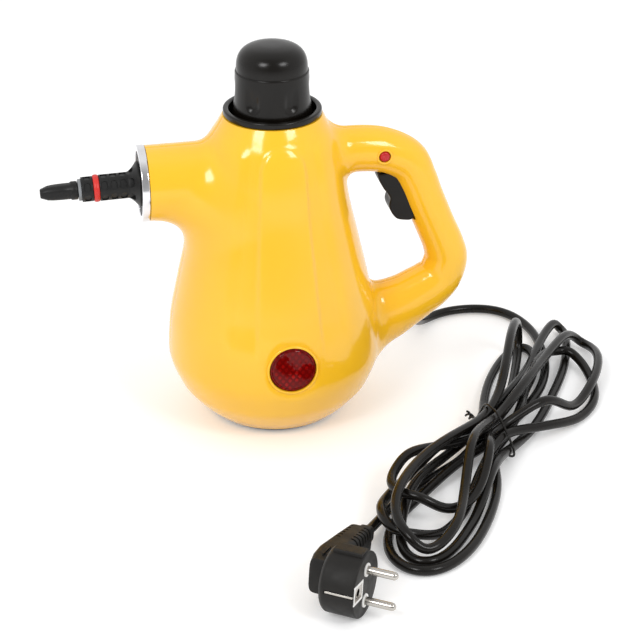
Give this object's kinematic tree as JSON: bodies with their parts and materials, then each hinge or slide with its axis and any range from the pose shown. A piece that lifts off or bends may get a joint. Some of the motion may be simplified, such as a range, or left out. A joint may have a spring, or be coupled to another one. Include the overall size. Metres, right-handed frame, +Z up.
{
  "type": "handheld steam cleaner",
  "caption": "Pear-shaped hand-held steam cleaner with side nozzle, looped handle, trigger, press-and-turn filler cap and corded plug.",
  "frame": {"origin": "on the floor, at the centre of the base plate's underside, under the axis of the filler cap", "axes": "+Z up; the nozzle points to -X and the handle lies on +X; -Y is the near side, with the indicator lens"},
  "size_m": [0.3802, 0.3736, 0.2527],
  "materials": {
    "yellow_plastic": "glossy moulded",
    "black_plastic": "satin moulded",
    "red_plastic": "glossy",
    "chrome": "plated",
    "steel": "drawn or turned",
    "brass": "turned",
    "cast_aluminium": "die cast",
    "white_rubber": "moulded silicone",
    "red_rubber": "moulded silicone",
    "tie_rubber": "coated wire",
    "red_glass": "clear red lens",
    "lamp_glass": "small lamp bulb",
    "grey_plastic": "moulded",
    "white_plastic": "moulded terminal strip"
  },
  "bodies": {
    "housing": {"base_plate": "black_plastic", "base_screw_back": "steel", "base_screw_left": "steel", "base_screw_right": "steel", "boiler_gasket": "white_rubber", "boiler_lid": "cast_aluminium", "boiler_pot": "cast_aluminium", "boiler_screw_1": "steel", "boiler_screw_2": "steel", "boiler_screw_3": "steel", "chrome_bezel": "chrome", "collar_ring": "black_plastic", "cord_hank": "black_plastic", "cord_lead": "black_plastic", "earth_strip": "steel", "hank_tie": "tie_rubber", "heater_lead_far": "red_plastic", "heater_lead_near": "red_plastic", "heating_element": "steel", "housing_far": "yellow_plastic", "housing_near": "yellow_plastic", "housing_screw_belly": "steel", "housing_screw_grip": "steel", "housing_screw_heel": "steel", "housing_screw_horn": "steel", "housing_screw_rear": "steel", "indicator_lamp": "lamp_glass", "indicator_lens": "red_glass", "inner_cord": "black_plastic", "lamp_holder": "black_plastic", "lamp_lead": "black_plastic", "nozzle_socket": "black_plastic", "plug_body": "black_plastic", "plug_pin_lower": "chrome", "plug_pin_upper": "chrome", "steam_tube": "brass", "strain_relief": "black_plastic", "terminal_block": "white_plastic", "thermal_fuse": "steel", "thermostat": "black_plastic", "thermostat_lead": "black_plastic", "trigger_pin": "steel", "valve_body": "brass", "valve_spring": "steel"},
    "trigger": {"trigger": "black_plastic"},
    "push_rod": {"push_rod": "steel"},
    "valve_stem": {"valve_stem": "steel"},
    "lock": {"lock_button": "red_plastic"},
    "cap_lift": {"cap_gasket": "red_rubber"},
    "cap_screw": {"cap_core": "black_plastic", "relief_retainer": "steel", "relief_spring": "steel", "cap_spring": "steel"},
    "cap_shell": {"cap_dome": "black_plastic", "cap_skirt": "black_plastic"},
    "relief": {"relief_poppet": "brass"},
    "nozzle": {"nozzle_body": "black_plastic", "nozzle_seal_ring": "red_rubber", "nozzle_tip": "black_plastic", "nozzle_washer": "grey_plastic"}
  },
  "joints": [
    {"name": "trigger_pivot", "type": "hinge", "parent": "housing", "child": "trigger", "pos_m": [0.084, 0, 0.16], "axis": [0, -1, 0], "range_deg": [0, 9], "stiffness_Nm_per_rad": 0.04, "springref_deg": -11.46},
    {"name": "rod_slide", "type": "slide", "parent": "housing", "child": "push_rod", "axis": [-1, 0, 0], "range_m": [0, 0.0017]},
    {"name": "stem_slide", "type": "slide", "parent": "housing", "child": "valve_stem", "axis": [-1, 0, 0], "range_m": [0, 0.0017], "deforming": ["valve_spring"]},
    {"name": "lock_press", "type": "slide", "parent": "housing", "child": "lock", "axis": [0, 1, 0], "range_m": [0, 0.003]},
    {"name": "cap_rise", "type": "slide", "parent": "housing", "child": "cap_lift", "axis": [0, 0, 1], "range_m": [0, 0.0045]},
    {"name": "cap_turn", "type": "hinge", "parent": "cap_lift", "child": "cap_screw", "pos_m": [0, 0, 0.194], "axis": [0, 0, 1], "range_deg": [0, 540]},
    {"name": "cap_press", "type": "slide", "parent": "cap_screw", "child": "cap_shell", "axis": [0, 0, -1], "range_m": [0, 0.003], "stiffness_N_per_m": 1200, "springref_m": -0.002, "deforming": ["cap_spring"]},
    {"name": "relief_lift", "type": "slide", "parent": "cap_screw", "child": "relief", "axis": [0, 0, 1], "range_m": [0, 0.0015], "stiffness_N_per_m": 700, "springref_m": -0.002, "deforming": ["relief_spring"]},
    {"name": "nozzle_twist", "type": "hinge", "parent": "housing", "child": "nozzle", "pos_m": [-0.081, 0, 0.1657], "axis": [-0.9996, 0, -0.0279], "range_deg": [0, 45]}
  ],
  "couplings": [
    {"joint": "rod_slide", "follows": "trigger_pivot", "m_per_rad": 0.0108},
    {"joint": "stem_slide", "follows": "trigger_pivot", "m_per_rad": 0.0108},
    {"joint": "cap_turn", "follows": "cap_rise", "rad_per_m": 2094.4}
  ]
}
